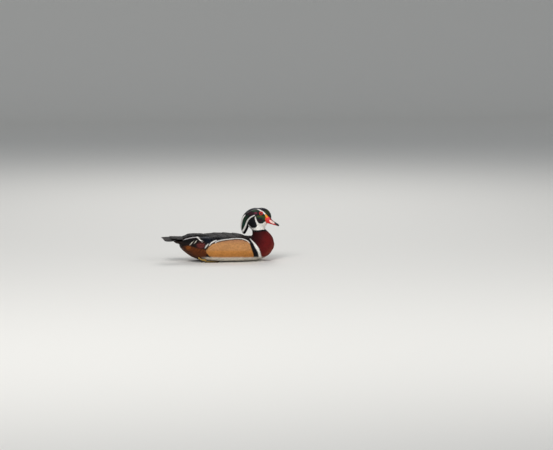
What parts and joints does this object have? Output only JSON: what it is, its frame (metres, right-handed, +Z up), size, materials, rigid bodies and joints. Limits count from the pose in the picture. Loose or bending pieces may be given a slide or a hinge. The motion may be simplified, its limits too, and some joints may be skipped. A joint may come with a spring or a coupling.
{
  "type": "wood duck",
  "caption": "Life-size still model of a drake wood duck at rest on its belly, head turned to its right, crest hanging, wings folded and feet tucked under.",
  "frame": {"origin": "middle of the bounding box's underside, on the floor under the belly", "axes": "+X from the tail to the breast, +Y to the bird's left, +Z up"},
  "size_m": [0.3706, 0.1534, 0.1666],
  "materials": {
    "head_feathers": "iridescent green and purple-black feathers with white stripes",
    "breast_feathers": "soft burgundy feathers",
    "body_feathers": "buff flanks with fine dark vermiculation, pale belly",
    "dark_feathers": "bronze-black feathers with a silky sheen",
    "plume_feathers": "maroon and black plumes with pale stripes",
    "bill_horn": "satin horn, red with a white side and a black nail",
    "eye_gloss": "wet red iris round a black pupil",
    "lid_skin": "bare red-orange skin",
    "leg_skin": "dull yellow scaled skin with dusky webs"
  },
  "bodies": {
    "root": {"head": "head_feathers", "neck": "breast_feathers", "torso": "body_feathers", "tail": "dark_feathers", "wing_left": "dark_feathers", "wing_right": "dark_feathers", "crest": "head_feathers", "side_plumes_left": "plume_feathers", "side_plumes_right": "plume_feathers", "bill_upper": "bill_horn", "bill_lower": "bill_horn", "eye_left": "eye_gloss", "eye_right": "eye_gloss", "eyelid_left": "lid_skin", "eyelid_right": "lid_skin", "leg_left": "leg_skin", "leg_right": "leg_skin", "foot_left": "leg_skin", "foot_right": "leg_skin"}
  },
  "joints": []
}
